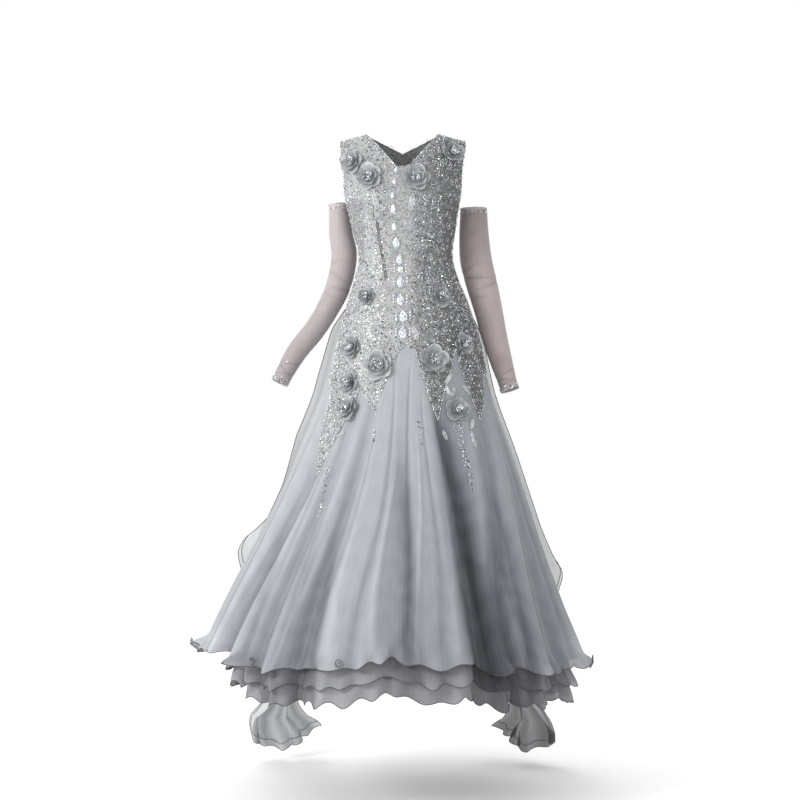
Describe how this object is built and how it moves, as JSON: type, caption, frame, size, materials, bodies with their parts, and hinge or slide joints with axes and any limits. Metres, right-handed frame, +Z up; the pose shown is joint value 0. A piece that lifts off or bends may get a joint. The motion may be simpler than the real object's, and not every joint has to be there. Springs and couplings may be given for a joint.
{
  "type": "ballroom dance dress with detached sleeves",
  "caption": "Floor-length ballroom dance dress in grey organza with a beaded V-neck bodice, fabric flowers, godet skirt, floats and mesh sleeves",
  "frame": {"origin": "midway between the shoulder seams, at shoulder height, where the wearer's shoulders carry the dress", "axes": "+Z up, the front faces -Y, +X is the wearer's left"},
  "size_m": [0.9407, 0.8887, 1.5537],
  "materials": {
    "bodice": "beaded lace over stretch cloth",
    "organza": "sheer crisp organza with a soft sheen",
    "under": "organza under layers",
    "float": "very sheer organza",
    "sleeve": "stretch mesh",
    "flower": "stiffened organza petals",
    "crystal": "cut glass with a rainbow coat",
    "cord": "corded silver leaf"
  },
  "bodies": {
    "root": {"bodice_back_left": "bodice", "bodice_back_right": "bodice", "bodice_front_centre": "bodice", "bodice_front_left": "bodice", "bodice_front_right": "bodice", "crystal_01": "crystal", "crystal_02": "crystal", "crystal_03": "crystal", "crystal_04": "crystal", "crystal_05": "crystal", "crystal_06": "crystal", "crystal_07": "crystal", "crystal_08": "crystal", "crystal_09": "crystal", "crystal_10": "crystal", "crystal_11": "crystal", "crystal_12": "crystal", "float_left": "float", "float_right": "float", "flower_01": "flower", "flower_02": "flower", "flower_03": "flower", "flower_04": "flower", "flower_05": "flower", "flower_06": "flower", "flower_07": "flower", "flower_08": "flower", "flower_09": "flower", "flower_10": "flower", "flower_11": "flower", "flower_12": "flower", "flower_13": "flower", "leaf_01": "cord", "leaf_02": "cord", "leaf_03": "cord", "leaf_04": "cord", "leaf_05": "cord", "leaf_06": "cord", "leaf_07": "cord", "skirt_back_left": "organza", "skirt_back_right": "organza", "skirt_front_centre": "organza", "skirt_front_left": "organza", "skirt_front_right": "organza", "skirt_side_left": "organza", "skirt_side_right": "organza", "sleeve_left": "sleeve", "sleeve_right": "sleeve", "underskirt": "under", "underskirt_frill": "under"}
  },
  "joints": []
}
